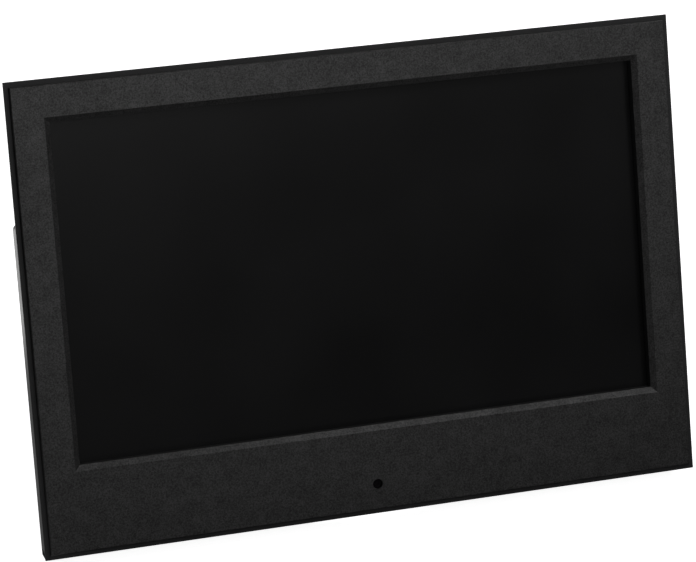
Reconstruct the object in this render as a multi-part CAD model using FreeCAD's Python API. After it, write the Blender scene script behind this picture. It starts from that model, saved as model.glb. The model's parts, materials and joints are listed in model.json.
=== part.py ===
import FreeCAD, Part
import math
import os

# A 10.1 inch digital photo frame that leans back on a folding leg.
#
# Every piece is drawn in the panel's own frame and stood up at the end:
#   x  to the right, seen from the front, 0 in the middle
#   y  towards the back, 0 on the front plate's face
#   z  up along the panel, 0 on the bottom edge of the rim
# All lengths are millimetres and all angles degrees.

V = FreeCAD.Vector

# ---------------------------------------------------------------- cutters
PAST = 1.0             # a cutter runs this far past each face it opens
OVERLAP = 0.5          # joined blocks reach this far into each other
THROUGH = 30.0         # longer than the frame is deep
ROUND_END = 0.49       # a corner radius that makes the end of a slot round, as a share of its width

# ---------------------------------------------------------------- stance
LEAN = 13.8            # the panel leans back this far from upright
SPLAY = 12.5           # the open leg stands this far from upright
UNDER_HOUSING = 1.13   # daylight between the housing's lowest line and the table

# ---------------------------------------------------------------- front
RIM_W, RIM_H = 253.0, 173.3
RIM_FRONT, RIM_BACK = 1.6, 2.5
RIM_EDGE = 0.2
LEDGE = 1.9            # how far the rim shows all round the front plate
PLATE_EDGE = 0.3
OPEN_W, OPEN_H = 226.2, 128.3
OPEN_Z = 95.55         # height of the middle of the picture
BEVEL, BEVEL_DEPTH = 2.1, 1.27
SCREEN_W = OPEN_W - 2 * BEVEL
SCREEN_H = OPEN_H - 2 * BEVEL
SENSOR_Z, SENSOR_R = 11.4, 1.9
STAKE_R, STAKE_HEAD_R, STAKE_HEAD = 1.2, 1.6, 0.5
STAKE_SIDE_X, STAKE_SIDE_Z = 114.6, (45.0, OPEN_Z, 146.0)
STAKE_TOP_X, STAKE_TOP_Z = (-80.0, 0.0, 80.0), 161.0
STAKE_LOW_X, STAKE_LOW_Z = (-90.0, -30.0, 30.0, 90.0), 16.5
LENS_R, LENS_SINK = 2.5, 0.9
LENS_NOSE_GAP, LENS_GAP = 0.05, 0.1

# ---------------------------------------------------------------- housing
WALL = 1.8
HOUSE_W, HOUSE_TOP, HOUSE_BACK = 248.3, 120.5, 20.5
UPPER_W, UPPER_TOP, UPPER_BACK = 239.4, 166.0, 12.5
HOUSE_ROUND = 2.0
INNER_BACK = HOUSE_BACK - WALL
TONGUE, TONGUE_GAP, TONGUE_END = 1.2, 0.1, 4.6
LIP_T, LIP_ROUND = 1.2, 0.6
STEP_LAP = 5.0         # how far the upper block reaches down into the lower one

# ---------------------------------------------------------------- display
LCD_W, LCD_H, LCD_DEEP = 235.0, 143.0, 5.1
LCD_TOP = OPEN_Z + 67.05
LCD_BOTTOM = LCD_TOP - LCD_H
GLASS_Y = 5.1
LCD_SKIN = 0.3
LCD_FRONT = GLASS_Y - LCD_SKIN
LCD_BACK = LCD_FRONT + LCD_DEEP
ACTIVE_W, ACTIVE_H = 222.72, 125.28
WINDOW_MARGIN = 0.8    # the metal frame's window is this much larger than the active area
GLASS_T = 1.2
GLASS_SIDE, GLASS_OVER, GLASS_UNDER = 3.8, 1.6, 6.4     # the glass beyond the active area
GASKET_T, GASKET_W, GASKET_CLEAR = 0.5, 2.2, 0.3
GASKET_ROUND, GASKET_INNER_ROUND = 0.8, 0.3
GLASS_BACK = GLASS_Y + GLASS_T
MID_GAP, MID_WALL = 0.1, 1.8
BACK_PLATE_T, BACK_PLATE_SINK = 0.4, 0.1
BACK_PLATE_Y = LCD_BACK - BACK_PLATE_SINK - BACK_PLATE_T
SHEET_GAP = 0.2        # between the mid frame's wall and the sheets inside it
SHEET_INSET = LCD_SKIN + MID_GAP + MID_WALL + SHEET_GAP
SHEET_LOW = LCD_BOTTOM + SHEET_INSET
DIFFUSER_T, GUIDE_T = 0.5, 2.0
GUIDE_Y = GLASS_BACK + SHEET_GAP + DIFFUSER_T
DIFFUSER_RISE, GUIDE_RISE = 6.0, 8.0                    # bottom edges above the mid frame's wall
LED_STRIP_RISE, LED_STRIP_W, LED_STRIP_H = 5.0, 220.0, 1.2
LED_COUNT, LED_STEP, LED_W, LED_H, LED_SKIN = 27, 8.0, 3.8, 1.6, 0.3
LED_SUNK = 0.2         # how far the lamps sit into their strip
DRIVER_RISE, DRIVER_W, DRIVER_H, DRIVER_T = 0.2, 200.0, 4.2, 0.8
FLAT_LEAD_T = 0.3
RIBBON_X, RIBBON_W, RIBBON_DROP, RIBBON_RISE = 72.0, 22.0, 0.9, 12.0
RIBBON_GAP, RIBBON_LAP = 0.2, 1.0

# ---------------------------------------------------------------- stand
HINGE_Y, HINGE_Z = 16.4, 112.0
PIN_R = 1.5
LEG_W, LEG_T = 38.0, 6.2
LEG_R = LEG_T / 2
LEG_BORE_R = 1.55
LEG_SKIN = 2.2
HEEL = 3.2             # the leg's heel beyond the pin, which meets the stop
STOP_GAP = 0.1
PAD_UP = 3.9           # the foot pad reaches this far up from its round end
WELL_W = 40.0
WELL_FLOOR = 12.7
WELL_WALL = 1.5
WELL_FLOOR_WALL = 1.3
WELL_TOP = 116.6
LEG_WALL, LEG_RIB, LEG_RIB_SINK, LEG_RIB_COUNT = 1.8, 1.8, 0.8, 5
LEG_RIBS_BELOW_PIN, LEG_SPINE_BELOW_PIN = 10.0, 2.0
HEEL_ROUND = 1.0
PAD_TONGUE_INSET, PAD_TONGUE_T, PAD_TONGUE_GAP = 4.0, 2.0, 0.4
BRACKET_PLATE, BRACKET_GAP = 1.2, 0.1
BRACKET_HALF, BRACKET_FLANGE_HALF, BRACKET_END_X = 4.5, 6.2, 33.5
WEB_X = WELL_W / 2 + WELL_WALL + BRACKET_GAP
PIN_REACH = WEB_X + BRACKET_PLATE + BRACKET_GAP    # from the middle to the pin's head, and to its clip
PIN_ROOM_X, PIN_ROOM_Z = 3.5, 2.8                  # the notch that clears them in each bracket
PIN_HEAD_R, PIN_HEAD_T, PIN_END = 2.2, 1.0, 1.7
CLIP_T, CLIP_SLOT, PIN_GROOVE, PIN_GROOVE_DEPTH = 0.6, 1.8, 0.7, 0.3
WASHER_R, WASHER_T = 2.8, 0.6

# ---------------------------------------------------------------- boards
BOARD_T = 1.2
MAIN_Y = 11.2
MAIN = (34.0, 116.0, 26.0, 108.0)        # x from, x to, z from, z to
MAIN_LOW = MAIN[2]
MAIN_TOP = MAIN_Y + BOARD_T
KEYS_Y = 13.6
KEY_BOARD = (-116.0, -60.0, 54.0, 106.0)
KEYS_TOP = KEYS_Y + BOARD_T
SENSOR_BOARD_Y = 8.5
SWITCH_BODY, SWITCH_H = 6.0, 1.1
SWITCH_TIP_R, SWITCH_TIP = 1.7, 0.5
BOARD_CORNER, PACKAGE_CORNER = 1.5, 0.3
# centre x, centre z, width, height, thickness
CHIPS = [
    (80.0, 66.0, 18.0, 18.0, 1.6),
    (66.0, 88.0, 12.0, 10.0, 1.1),
    (82.0, 88.0, 12.0, 10.0, 1.1),
    (82.0, 45.0, 16.0, 10.0, 1.1),
    (60.0, 50.0, 7.0, 7.0, 1.3),
    (98.0, 43.0, 6.0, 6.0, 1.5),
]
CAN_SPOTS = [(96.0, 74.0), (96.0, 64.0), (96.0, 54.0), (70.0, 36.5), (104.0, 52.0)]
CAN_R, CAN_H = 2.9, 4.5
CAN_BASE, CAN_BASE_T, CAN_BASE_CORNER = 6.2, 0.8, 0.6
LEAD_SOCKET_X = (38.5, 45.0, 51.5)
LEAD_SOCKET_RISE, LEAD_SOCKET_W, LEAD_SOCKET_H, LEAD_SOCKET_T = 4.6, 5.0, 5.2, 5.0
RIBBON_SOCKET_RISE, RIBBON_SOCKET_W, RIBBON_SOCKET_H, RIBBON_SOCKET_T = 3.2, 26.0, 4.4, 1.8
CELL_X, CELL_Z, CELL_R, CELL_T = 47.5, 74.0, 10.0, 3.2
CELL_CAP_T, CELL_CAP_STEP, CELL_GAP = 0.4, 1.2, 0.15
HOLDER_WALL, HOLDER_CORNER, HOLDER_FLOOR, HOLDER_T = 1.5, 3.0, 0.6, 3.4
KEY_LEAD_Z, KEY_LEAD_W, KEY_LEAD_LAP = 65.0, 10.0, 6.0
KEY_LEAD_BESIDE, KEY_LEAD_UNDER = 4.0, 10.0
SENSOR_BOARD_W, SENSOR_BOARD_H, SENSOR_BOARD_CORNER = 18.0, 13.0, 1.0
EYE_W, EYE_H, EYE_FACE_Y, EYE_R = 6.0, 6.8, 4.8, 1.9

# ---------------------------------------------------------------- keys
KEY_PROUD = 0.8
KEY_TRAVEL = 0.6
KEY_SPARE = 0.1
KEY_GAP = 0.3
KEY_FLANGE, KEY_FLANGE_T = 1.0, 0.7
KEY_STEM_R = 1.2
PAD_X, PAD_Z, PAD_STEP = -88.0, 72.0, 10.0
ROW_Z, ROW_STEP = 98.0, 14.0
# name: centre x, centre z, width, height
KEYS = {
    "key_power": (PAD_X + ROW_STEP, ROW_Z, 9.0, 4.5),
    "key_menu": (PAD_X, ROW_Z, 9.0, 4.5),
    "key_exit": (PAD_X - ROW_STEP, ROW_Z, 9.0, 4.5),
    "key_up": (PAD_X, PAD_Z + PAD_STEP, 8.0, 5.0),
    "key_down": (PAD_X, PAD_Z - PAD_STEP, 8.0, 5.0),
    "key_left": (PAD_X + PAD_STEP, PAD_Z, 5.0, 8.0),
    "key_right": (PAD_X - PAD_STEP, PAD_Z, 5.0, 8.0),
    "key_enter": (PAD_X, PAD_Z, 7.0, 7.0),
}
KEY_CORNER = 2.0
KEY_TOP_ROUND = 0.4

# ---------------------------------------------------------------- sockets on the right-hand wall
SOCKET_X = HOUSE_W / 2 - WALL - 0.15
CARD_Z, CARD_W, CARD_H = 94.0, 24.2, 2.2
CARD_SKIN, CARD_SIDE, CARD_BODY, CARD_DEPTH = 0.4, 1.0, 26.0, 24.5
USB_Z, USB_W, USB_H, USB_BODY = 72.5, 13.1, 5.7, 14.0
USB_SKIN, USB_TONGUE_Y, USB_TONGUE_T, USB_TONGUE_INSET = 0.5, 0.9, 1.9, 1.0
SMALL_USB_Z, SMALL_USB_W, SMALL_USB_H, SMALL_USB_BODY = 52.0, 7.7, 3.9, 9.0
SMALL_SKIN, SMALL_TONGUE_Y, SMALL_TONGUE_T, SMALL_TONGUE_INSET = 0.4, 1.6, 0.7, 1.6
SHELL_END, TONGUE_SINK = 1.5, 1.2
EAR_Z, EAR_Y, EAR_R, EAR_DEPTH = 42.0, 15.0, 1.8, 14.65
EAR_NOSE_R, EAR_BODY, EAR_BODY_W, EAR_BODY_T, EAR_BODY_SINK = 2.9, 14.0, 6.4, 5.6, 0.4
POWER_Z, POWER_Y, POWER_R, POWER_PIN_R = 31.5, 15.45, 2.85, 1.0
POWER_BODY, POWER_BODY_W, POWER_BODY_T, POWER_DEPTH = 13.0, 9.0, 6.1, 10.5
POWER_MOUTH_GAP = 0.5
PORT_GAP = 0.2

# ---------------------------------------------------------------- hanging
KEYHOLE_X, KEYHOLE_Z = 50.0, 100.0
KEYHOLE_R, KEYHOLE_SLOT, KEYHOLE_RISE = 4.0, 4.0, 7.0
POCKET_FLOOR = 15.0
POCKET_WALL = 1.0
POCKET_BESIDE, POCKET_BELOW, POCKET_ABOVE = 1.5, 0.8, 4.2    # room round the keyhole
POCKET_CORNER = 1.0

# ---------------------------------------------------------------- sound
SPEAKER_X, SPEAKER_Z = 78.0, 13.5
SPEAKER_W, SPEAKER_H = 40.0, 20.0
SPEAKER_RIM, SPEAKER_BASKET, SPEAKER_MAGNET, MAGNET_R = 1.0, 2.2, 1.2, 6.0
BASKET_W, BASKET_H, BASKET_CORNER = 34.0, 15.0, 7.0
SPEAKER_GASKET = 0.4
LEAD_R, LEAD_BEND = 0.6, 3.0
LEAD_Y = 16.0          # the leads run this deep in the housing
DIP_Y, DIP_LEFT, DIP_RIGHT = 10.7, -29.0, 27.0    # and pass in front of the leg's recess here
DIP_START, DIP_RISE = -42.0, 3.0
SENSOR_LEAD_DROP, SENSOR_LEAD_START, SENSOR_LEAD_TURN, SENSOR_LEAD_RISE = 4.0, 9.0, 30.0, 8.0
SOCKET_FOOT = 2.0      # the leads end this far above the main board's lower edge
GRILLE_SLOT, GRILLE_LEN, GRILLE_STEP, GRILLE_COUNT = 1.6, 12.0, 3.2, 9
VENT_X, VENT_Z = 84.5, 92.0
VENT_SLOT, VENT_LEN, VENT_STEP, VENT_COUNT = 2.0, 14.0, 5.0, 10

# ---------------------------------------------------------------- fasteners
SCREW_R, SCREW_HEAD_R, SCREW_HEAD = 1.0, 1.9, 1.3
SMALL_HEAD = 0.8
HEAD_R, HINGE_HEAD = 1.9, 1.0
DRIVE_DEPTH, DRIVE_REACH, DRIVE_HALF = 0.55, 0.6, 0.22    # shares of the head; half a cut's width
BOSS_R, POST_R = 2.3, 3.2
BOARD_POST_R, KEY_POST_R, HINGE_POST_R, BRACKET_BOSS_R = 2.5, 2.2, 2.6, 1.9
PILOT_R, CLEAR_R, SCREW_WELL_R = 0.9, 1.15, 2.15
BRACKET_PILOT_R, BRACKET_HEAD_R, BRACKET_SCREW_R = 0.8, 1.6, 0.8
REAR_TIP_Y, BRACKET_TIP_Y = 5.0, 4.5
BOARD_BITE, KEY_BITE, HINGE_BITE = 4.0, 3.2, 0.4          # how deep the screws go
TAB_SHIFT, TAB_W, TAB_H, TAB_T, TAB_CORNER = 3.0, 10.0, 8.0, 0.5, 1.0
SEAM_Y = 10.4          # where the frame's bosses meet the cover's posts
SCREW_SHELF = 1.6
REAR_HALF = ((45.0, 9.0), (112.0, 9.0), (119.9, 62.0), (119.9, 112.0))
REAR_SCREWS = [(s * x, z) for s in (-1, 1) for x, z in REAR_HALF]
BRACKET_X = 119.6
BRACKET_SPOTS = [(s * BRACKET_X, z) for s in (-1, 1) for z in (36.0, 90.0)]
BOARD_SPOTS = [(38.0, 50.0), (38.0, 104.0), (110.0, 60.5), (98.0, 31.0)]
KEY_SPOTS = [(x, z) for x in (-113.0, -63.0) for z in (57.0, 103.0)]
HINGE_SPOTS = [(s * 30.0, z) for s in (-1, 1) for z in (108.6, 115.4)]
HINGE_BOSS_Y = 15.7

# ---------------------------------------------------------------- feet
FOOT_W = 16.0
FOOT_X = (HOUSE_W - FOOT_W) / 2              # their outer ends are flush with the housing
FOOT_Y0, FOOT_Y1 = 13.4, 18.5
FOOT_SINK = 0.8


# ================================================================ tools
def box(x0, x1, y0, y1, z0, z1):
    return Part.makeBox(x1 - x0, y1 - y0, z1 - z0, V(x0, y0, z0))


def rod_y(x, z, radius, y0, y1):
    return Part.makeCylinder(radius, y1 - y0, V(x, y0, z), V(0, 1, 0))


def rod_x(y, z, radius, x0, x1):
    return Part.makeCylinder(radius, x1 - x0, V(x0, y, z), V(1, 0, 0))


def slab(x, z, width, height, corner, y0, y1):
    """A plate standing in the panel's plane, centred on x, z, with round corners."""
    plate = box(x - width / 2, x + width / 2, y0, y1, z - height / 2, z + height / 2)
    along_y = [e for e in plate.Edges if abs(e.tangentAt(e.FirstParameter).y) > 0.99]
    return plate.makeFillet(corner, along_y)


def fuse(shapes):
    return shapes[0].multiFuse(shapes[1:]).removeSplitter()


def cut(shape, tools):
    return shape.cut(Part.makeCompound(tools)) if tools else shape


def group(shapes):
    return Part.makeCompound(shapes)


def ring(outer, inner):
    return outer.cut(inner)


def edges_at(shape, axis, value):
    """The edges that lie wholly at one value of x, y or z."""
    found = []
    for edge in shape.Edges:
        if all(abs(getattr(v.Point, axis) - value) < 1e-6 for v in edge.Vertexes):
            found.append(edge)
    return found


def tube(points, radius, bend):
    """A round lead along straight runs that are joined by tangent arcs."""
    edges = []
    start = V(*points[0])
    for i in range(1, len(points) - 1):
        corner = V(*points[i])
        back = (V(*points[i - 1]) - corner).normalize()
        on = (V(*points[i + 1]) - corner).normalize()
        half = back.getAngle(on) / 2
        reach = bend / math.tan(half)
        first = corner + back * reach
        last = corner + on * reach
        centre = corner + (back + on).normalize() * (bend / math.sin(half))
        middle = centre + (corner - centre).normalize() * bend
        edges.append(Part.LineSegment(start, first).toShape())
        edges.append(Part.Arc(first, middle, last).toShape())
        start = last
    edges.append(Part.LineSegment(start, V(*points[-1])).toShape())
    path = Part.Wire(edges)
    heading = V(*points[1]) - V(*points[0])
    profile = Part.Wire(Part.makeCircle(radius, V(*points[0]), heading))
    return path.makePipeShell([profile], True, True)


def screw(x, z, head_y, tip_y, head_r, head_t, shank_r=SCREW_R):
    """A screw along y with its head's bearing face at head_y, pointing towards tip_y."""
    side = 1 if tip_y > head_y else -1
    low, high = sorted((head_y, head_y - side * head_t))
    head = rod_y(x, z, head_r, low, high)
    shank = rod_y(x, z, shank_r, min(head_y, tip_y), max(head_y, tip_y))
    outer = head_y - side * head_t
    notch = sorted((outer, outer + side * head_t * DRIVE_DEPTH))
    reach = head_r * DRIVE_REACH
    cross = [
        box(x - reach, x + reach, *notch, z - DRIVE_HALF, z + DRIVE_HALF),
        box(x - DRIVE_HALF, x + DRIVE_HALF, *notch, z - reach, z + reach),
    ]
    return fuse([head, shank]).cut(fuse(cross))


def ridge(shape, y, z):
    """The straight edge of a block where its faces at y and z meet."""
    return edges_at(group(edges_at(shape, "y", y)), "z", z)


# ================================================================ stance
def table_level():
    """Height of the table below the panel frame's origin, along the world's vertical."""
    lean = math.radians(LEAN)
    centre_y = HOUSE_BACK - HOUSE_ROUND
    lowest = -centre_y * math.sin(lean) + HOUSE_ROUND * math.cos(lean) - HOUSE_ROUND
    return lowest - UNDER_HOUSING


def hinge_height():
    """Height of the hinge pin above the table."""
    lean = math.radians(LEAN)
    return -HINGE_Y * math.sin(lean) + HINGE_Z * math.cos(lean) - table_level()


def leg_reach():
    """From the pin to the middle of the leg's round end."""
    return (hinge_height() - LEG_R) / math.cos(math.radians(SPLAY))


def open_leg(shape):
    """Swing a piece of the folded leg out to where it stands."""
    turned = shape.copy()
    turned.rotate(V(0, HINGE_Y, HINGE_Z), V(1, 0, 0), LEAN + SPLAY)
    return turned


def below_table():
    """Everything under the table, as a slab in the panel's frame."""
    below = box(-RIM_W, RIM_W, -RIM_W, RIM_W, table_level() - RIM_W, table_level())
    below.rotate(V(0, 0, 0), V(1, 0, 0), LEAN)
    return below


# ================================================================ front
def stake_spots():
    spots = [(s * STAKE_SIDE_X, z) for s in (-1, 1) for z in STAKE_SIDE_Z]
    spots += [(x, STAKE_TOP_Z) for x in STAKE_TOP_X]
    spots += [(x, STAKE_LOW_Z) for x in STAKE_LOW_X]
    return spots


def front_plate():
    """The textured plate with the mitred bevel round the picture and its melted stakes."""
    half_w = RIM_W / 2 - LEDGE
    plate = box(-half_w, half_w, 0, RIM_FRONT, LEDGE, RIM_H - LEDGE)
    plate = plate.makeChamfer(PLATE_EDGE, edges_at(plate, "y", 0))
    wide = Part.makePolygon(rectangle_points(OPEN_W, OPEN_H, 0))
    narrow = Part.makePolygon(rectangle_points(SCREEN_W, SCREEN_H, BEVEL_DEPTH))
    bevel = Part.makeLoft([wide, narrow], True, True)
    sensor = rod_y(0, SENSOR_Z, SENSOR_R, -PAST, RIM_FRONT + PAST)
    plate = plate.cut(bevel).cut(screen_window(0, RIM_FRONT + PAST)).cut(sensor)
    stakes = []
    for x, z in stake_spots():
        stakes.append(rod_y(x, z, STAKE_R, RIM_FRONT - OVERLAP, RIM_BACK))
        stakes.append(rod_y(x, z, STAKE_HEAD_R, RIM_BACK, RIM_BACK + STAKE_HEAD))
    return fuse([plate] + stakes)


def screen_window(y0, y1):
    """A block the size of the visible screen."""
    half = SCREEN_H / 2
    return box(-SCREEN_W / 2, SCREEN_W / 2, y0, y1, OPEN_Z - half, OPEN_Z + half)


def rectangle_points(width, height, y):
    x, low, high = width / 2, OPEN_Z - height / 2, OPEN_Z + height / 2
    corners = [V(-x, y, low), V(x, y, low), V(x, y, high), V(-x, y, high)]
    return corners + corners[:1]


def stepped(inset, y0, y1):
    """The housing's stepped outline, drawn in by inset, as a block from y0 to y1."""
    lower = box(-HOUSE_W / 2 + inset, HOUSE_W / 2 - inset, y0, y1, inset, HOUSE_TOP - inset)
    upper = box(-UPPER_W / 2 + inset, UPPER_W / 2 - inset, y0, y1, inset, UPPER_TOP - inset)
    return fuse([lower, upper])


def frame_base():
    """The smooth frame whose rim shows round the plate, with lip, tongue and bosses."""
    plate = box(-RIM_W / 2, RIM_W / 2, RIM_FRONT, RIM_BACK, 0, RIM_H)
    plate = plate.makeChamfer(RIM_EDGE, edges_at(plate, "y", RIM_FRONT))
    lip_end = LCD_FRONT - GASKET_T
    lip_w, lip_h = SCREEN_W + 2 * LIP_T, SCREEN_H + 2 * LIP_T
    lip = slab(0, OPEN_Z, lip_w, lip_h, LIP_ROUND, RIM_BACK, lip_end)
    outside = WALL + TONGUE_GAP
    tongue = ring(stepped(outside, RIM_BACK, TONGUE_END), stepped(outside + TONGUE, 0, THROUGH))
    bosses = [rod_y(x, z, BOSS_R, RIM_BACK, SEAM_Y) for x, z in REAR_SCREWS]
    bosses += [rod_y(x, z, BRACKET_BOSS_R, RIM_BACK, LCD_BACK) for x, z in BRACKET_SPOTS]
    solid = fuse([plate, lip, tongue] + bosses)
    behind = RIM_BACK + PAST
    holes = [screen_window(0, THROUGH), rod_y(0, SENSOR_Z, LENS_R, 0, behind)]
    holes += [rod_y(x, z, STAKE_R, 0, behind) for x, z in stake_spots()]
    holes += [rod_y(x, z, PILOT_R, behind, SEAM_Y + PAST) for x, z in REAR_SCREWS]
    holes += [rod_y(x, z, BRACKET_PILOT_R, behind, LCD_BACK + PAST) for x, z in BRACKET_SPOTS]
    return cut(solid, holes)


def ir_lens():
    """The smoked window behind the sensor hole."""
    nose = rod_y(0, SENSOR_Z, SENSOR_R - LENS_NOSE_GAP, LENS_SINK, RIM_FRONT)
    flange = rod_y(0, SENSOR_Z, LENS_R - LENS_GAP, RIM_FRONT, RIM_BACK - LENS_GAP)
    return fuse([nose, flange])


# ================================================================ rear cover
def leg_well():
    """Walls round the recess that the folded leg lies in."""
    half = WELL_W / 2 + WELL_WALL
    floor = WELL_FLOOR - WELL_FLOOR_WALL
    return box(-half, half, floor, HOUSE_BACK, 0, WELL_TOP + WELL_WALL)


def keyhole(side):
    """The hole and slot that hang the frame on a screw's head, through the back wall."""
    x = side * KEYHOLE_X
    wall = (INNER_BACK - OVERLAP, HOUSE_BACK + PAST)
    entry = rod_y(x, KEYHOLE_Z, KEYHOLE_R, *wall)
    top = KEYHOLE_Z + KEYHOLE_RISE
    half = KEYHOLE_SLOT / 2
    slot = box(x - half, x + half, *wall, KEYHOLE_Z, top)
    end = rod_y(x, top, half, *wall)
    return fuse([entry, slot, end])


def keyhole_pocket(side, grow, y0):
    """The closed space behind a keyhole, or its walls when grown."""
    width = 2 * (KEYHOLE_R + POCKET_BESIDE + grow)
    low = KEYHOLE_Z - KEYHOLE_R - POCKET_BELOW - grow
    high = KEYHOLE_Z + KEYHOLE_RISE + POCKET_ABOVE + grow
    middle = (low + high) / 2
    corner = POCKET_CORNER + grow
    return slab(side * KEYHOLE_X, middle, width, high - low, corner, y0, INNER_BACK)


def slots_in_a_row(x, z, slot, length, step, count):
    """Upright slots with round ends through the back wall."""
    first = x - step * (count - 1) / 2
    wall = (INNER_BACK - PAST, HOUSE_BACK + PAST)
    made = []
    for i in range(count):
        made.append(slab(first + i * step, z, slot, length, slot * ROUND_END, *wall))
    return made


def port_holes():
    """Openings for the sockets in the right-hand wall."""
    wall = (HOUSE_W / 2 - WALL - OVERLAP, HOUSE_W / 2 + PAST)
    ports = []
    for z, width, height in (
        (CARD_Z, CARD_W, CARD_H + 2 * CARD_SKIN),
        (USB_Z, USB_W, USB_H),
        (SMALL_USB_Z, SMALL_USB_W, SMALL_USB_H),
    ):
        half = width / 2 + PORT_GAP
        depth = (MAIN_TOP - PORT_GAP, MAIN_TOP + height + PORT_GAP)
        ports.append(box(*wall, *depth, z - half, z + half))
    ports.append(rod_x(EAR_Y, EAR_Z, EAR_NOSE_R + PORT_GAP, *wall))
    ports.append(rod_x(POWER_Y, POWER_Z, POWER_R + POWER_MOUTH_GAP, *wall))
    return ports


def upright_corners(block, top):
    """The two short edges at the top of a block, where its sides meet its top face."""
    return [e for e in edges_at(block, "z", top) if abs(e.tangentAt(0).y) > 0.99]


def cover_shell():
    """The stepped shell itself, open at the front."""
    lower = box(-HOUSE_W / 2, HOUSE_W / 2, RIM_BACK, HOUSE_BACK, 0, HOUSE_TOP)
    lower_edges = edges_at(lower, "y", HOUSE_BACK) + upright_corners(lower, HOUSE_TOP)
    lower = lower.makeFillet(HOUSE_ROUND, lower_edges)
    low = HOUSE_TOP - STEP_LAP
    upper = box(-UPPER_W / 2, UPPER_W / 2, RIM_BACK, UPPER_BACK, low, UPPER_TOP)
    upper_edges = upright_corners(upper, UPPER_TOP) + ridge(upper, UPPER_BACK, UPPER_TOP)
    upper = upper.makeFillet(HOUSE_ROUND, upper_edges)
    half, half_up = HOUSE_W / 2 - WALL, UPPER_W / 2 - WALL
    hollow_low = box(-half, half, 0, INNER_BACK, WALL, HOUSE_TOP - WALL)
    low -= STEP_LAP
    hollow_high = box(-half_up, half_up, 0, UPPER_BACK - WALL, low, UPPER_TOP - WALL)
    return fuse([lower, upper]).cut(hollow_low).cut(hollow_high)


def cover_posts():
    """The posts for the rear, board, key board and hinge screws."""
    inside = INNER_BACK + OVERLAP
    posts = [rod_y(x, z, POST_R, SEAM_Y, HOUSE_BACK - OVERLAP) for x, z in REAR_SCREWS]
    posts += [rod_y(x, z, BOARD_POST_R, MAIN_TOP, inside) for x, z in BOARD_SPOTS]
    posts += [rod_y(x, z, KEY_POST_R, KEYS_TOP, inside) for x, z in KEY_SPOTS]
    posts += [rod_y(x, z, HINGE_POST_R, HINGE_BOSS_Y, inside) for x, z in HINGE_SPOTS]
    return posts


def cover_screw_holes():
    """The counterbored rear holes and the pilot holes in the other posts."""
    holes = []
    shelf = SEAM_Y + SCREW_SHELF
    for x, z in REAR_SCREWS:
        holes.append(rod_y(x, z, CLEAR_R, SEAM_Y - PAST, shelf))
        holes.append(rod_y(x, z, SCREW_WELL_R, shelf, HOUSE_BACK + PAST))
    holes += [rod_y(x, z, PILOT_R, MAIN_TOP - PAST, INNER_BACK) for x, z in BOARD_SPOTS]
    holes += [rod_y(x, z, PILOT_R, KEYS_TOP - PAST, INNER_BACK) for x, z in KEY_SPOTS]
    deep = INNER_BACK + 2 * HINGE_BITE
    holes += [rod_y(x, z, PILOT_R, HINGE_BOSS_Y - PAST, deep) for x, z in HINGE_SPOTS]
    return holes


def rear_cover():
    """The stepped back shell with the leg's recess, posts, grilles and openings."""
    added = [leg_well()] + cover_posts()
    added += [keyhole_pocket(s, POCKET_WALL, POCKET_FLOOR - POCKET_WALL) for s in (-1, 1)]
    solid = fuse([cover_shell()] + added)

    behind = HOUSE_BACK + PAST
    half = WELL_W / 2
    holes = [box(-half, half, WELL_FLOOR, behind, -PAST, WELL_TOP)]
    half += WELL_WALL + PAST
    holes.append(rod_x(HINGE_Y, HINGE_Z, PIN_R, -half, half))
    holes += cover_screw_holes()
    grille = (GRILLE_SLOT, GRILLE_LEN, GRILLE_STEP, GRILLE_COUNT)
    for s in (-1, 1):
        holes.append(keyhole_pocket(s, 0, POCKET_FLOOR))
        holes.append(keyhole(s))
        holes += slots_in_a_row(s * SPEAKER_X, SPEAKER_Z, *grille)
        holes.append(foot_block(s, -PAST))
    holes += slots_in_a_row(VENT_X, VENT_Z, VENT_SLOT, VENT_LEN, VENT_STEP, VENT_COUNT)
    for x, z, width, height in KEYS.values():
        grown = (width + 2 * KEY_GAP, height + 2 * KEY_GAP, KEY_CORNER + KEY_GAP)
        holes.append(slab(x, z, *grown, INNER_BACK - OVERLAP, behind))
    return cut(solid, holes + port_holes())


def rear_screws():
    sizes = (SEAM_Y + SCREW_SHELF, REAR_TIP_Y, SCREW_HEAD_R, SCREW_HEAD, PILOT_R)
    return group([screw(x, z, *sizes) for x, z in REAR_SCREWS])


def foot_block(side, low):
    """A block under the housing, from low up to the depth that a foot is sunk in."""
    x0 = side * FOOT_X - FOOT_W / 2
    return box(x0, x0 + FOOT_W, FOOT_Y0, FOOT_Y1, low, FOOT_SINK)


def rubber_feet():
    """Two wedge feet under the housing, cut level with the table."""
    return group([foot_block(s, 2 * table_level()).cut(below_table()) for s in (-1, 1)])


# ================================================================ display
def screen_gasket():
    front = LCD_FRONT - GASKET_T
    wide = 2 * (GASKET_CLEAR + GASKET_W)
    outer = slab(0, OPEN_Z, SCREEN_W + wide, SCREEN_H + wide, GASKET_ROUND, front, LCD_FRONT)
    gap = 2 * GASKET_CLEAR
    inner = slab(0, OPEN_Z, SCREEN_W + gap, SCREEN_H + gap, GASKET_INNER_ROUND, 0, THROUGH)
    return ring(outer, inner)


def lcd_block(inset, y0, y1):
    half = LCD_W / 2 - inset
    return box(-half, half, y0, y1, LCD_BOTTOM + inset, LCD_TOP - inset)


def lcd_metal_frame():
    """The folded steel frame round the glass."""
    skin = ring(lcd_block(0, LCD_FRONT, LCD_BACK), lcd_block(LCD_SKIN, GLASS_Y, LCD_BACK + PAST))
    half_w = ACTIVE_W / 2 + WINDOW_MARGIN
    half_h = ACTIVE_H / 2 + WINDOW_MARGIN
    return skin.cut(box(-half_w, half_w, 0, THROUGH, OPEN_Z - half_h, OPEN_Z + half_h))


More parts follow.
